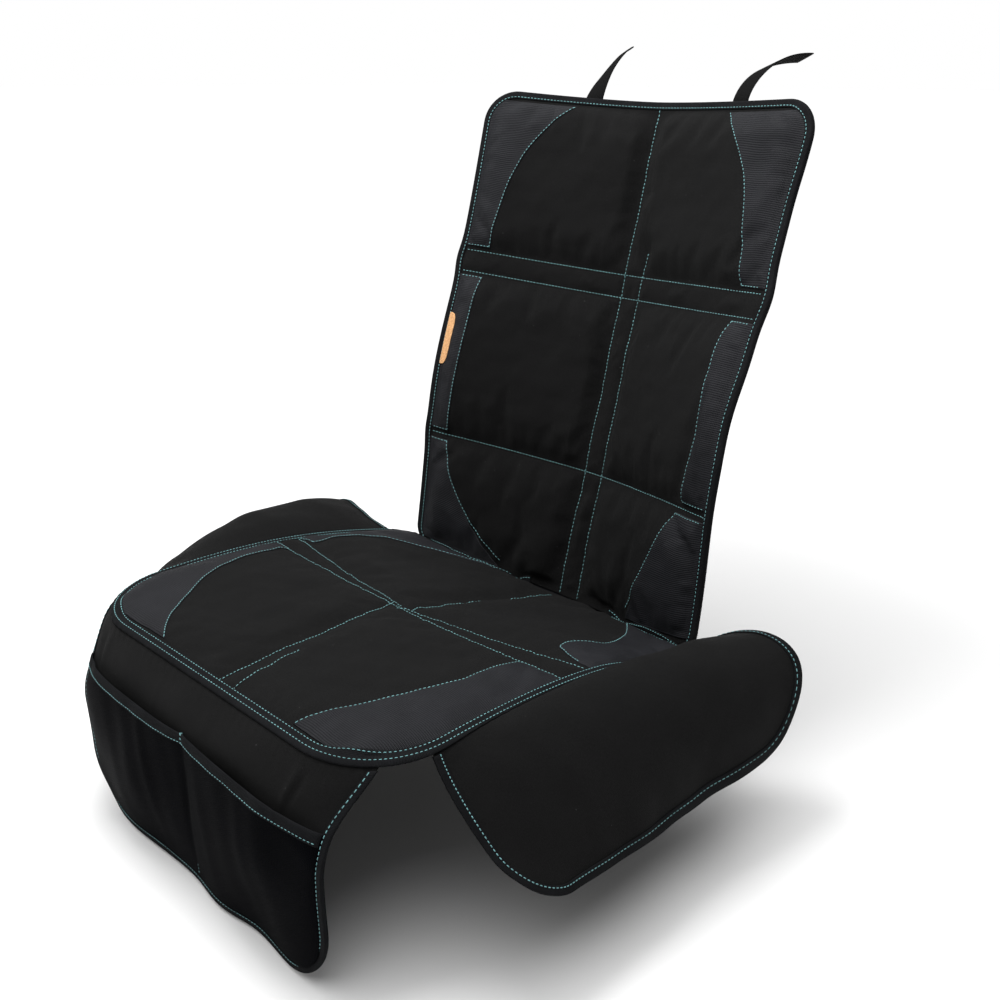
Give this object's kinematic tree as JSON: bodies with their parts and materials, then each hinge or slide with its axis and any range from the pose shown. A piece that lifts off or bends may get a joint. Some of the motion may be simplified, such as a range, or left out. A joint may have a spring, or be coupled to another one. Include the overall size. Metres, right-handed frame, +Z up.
{
  "type": "car seat protector mat",
  "caption": "Padded cloth mat draped over a car seat, with reclined back panel, seat panel, drooping side wings, front skirt with mesh pocket and top straps.",
  "frame": {"origin": "middle of the flat landing on the underside of the seat panel, on the mat's centre line, where it lies on the car seat's cushion", "axes": "+Z up, -Y towards the front of the seat, where the skirt hangs, +X towards the right of someone who faces the mat"},
  "size_m": [0.7967, 0.8905, 0.8265],
  "materials": {
    "woven_cloth": "black plain-woven polyester, dull",
    "ribbed_patch_cloth": "dark grey ribbed cloth, slightly shiny",
    "pocket_mesh_cloth": "black knitted mesh",
    "binding_tape": "black woven edging tape with pale teal stitching",
    "webbing": "black flat polypropylene webbing",
    "tag_cork": "tan mottled cork-like tag, bare"
  },
  "bodies": {
    "root": {"back_panel": "woven_cloth", "seat_panel": "woven_cloth", "crease_joint": "binding_tape", "back_patch_upper_left": "ribbed_patch_cloth", "back_patch_upper_right": "ribbed_patch_cloth", "back_patch_middle_left": "ribbed_patch_cloth", "back_patch_middle_right": "ribbed_patch_cloth", "back_patch_lower_left": "ribbed_patch_cloth", "back_patch_lower_right": "ribbed_patch_cloth", "seat_patch_front_left": "ribbed_patch_cloth", "seat_patch_front_right": "ribbed_patch_cloth", "seat_patch_rear_left": "ribbed_patch_cloth", "seat_patch_rear_right": "ribbed_patch_cloth", "left_wing": "woven_cloth", "right_wing": "woven_cloth", "left_wing_binding": "binding_tape", "right_wing_binding": "binding_tape", "front_skirt": "woven_cloth", "skirt_binding": "binding_tape", "pocket_mesh": "pocket_mesh_cloth", "pocket_hem": "binding_tape", "back_binding": "binding_tape", "seat_seam_tape": "binding_tape", "seat_rear_binding_left": "binding_tape", "seat_rear_binding_right": "binding_tape", "strap_left": "webbing", "strap_right": "webbing", "tag": "tag_cork"}
  },
  "joints": []
}
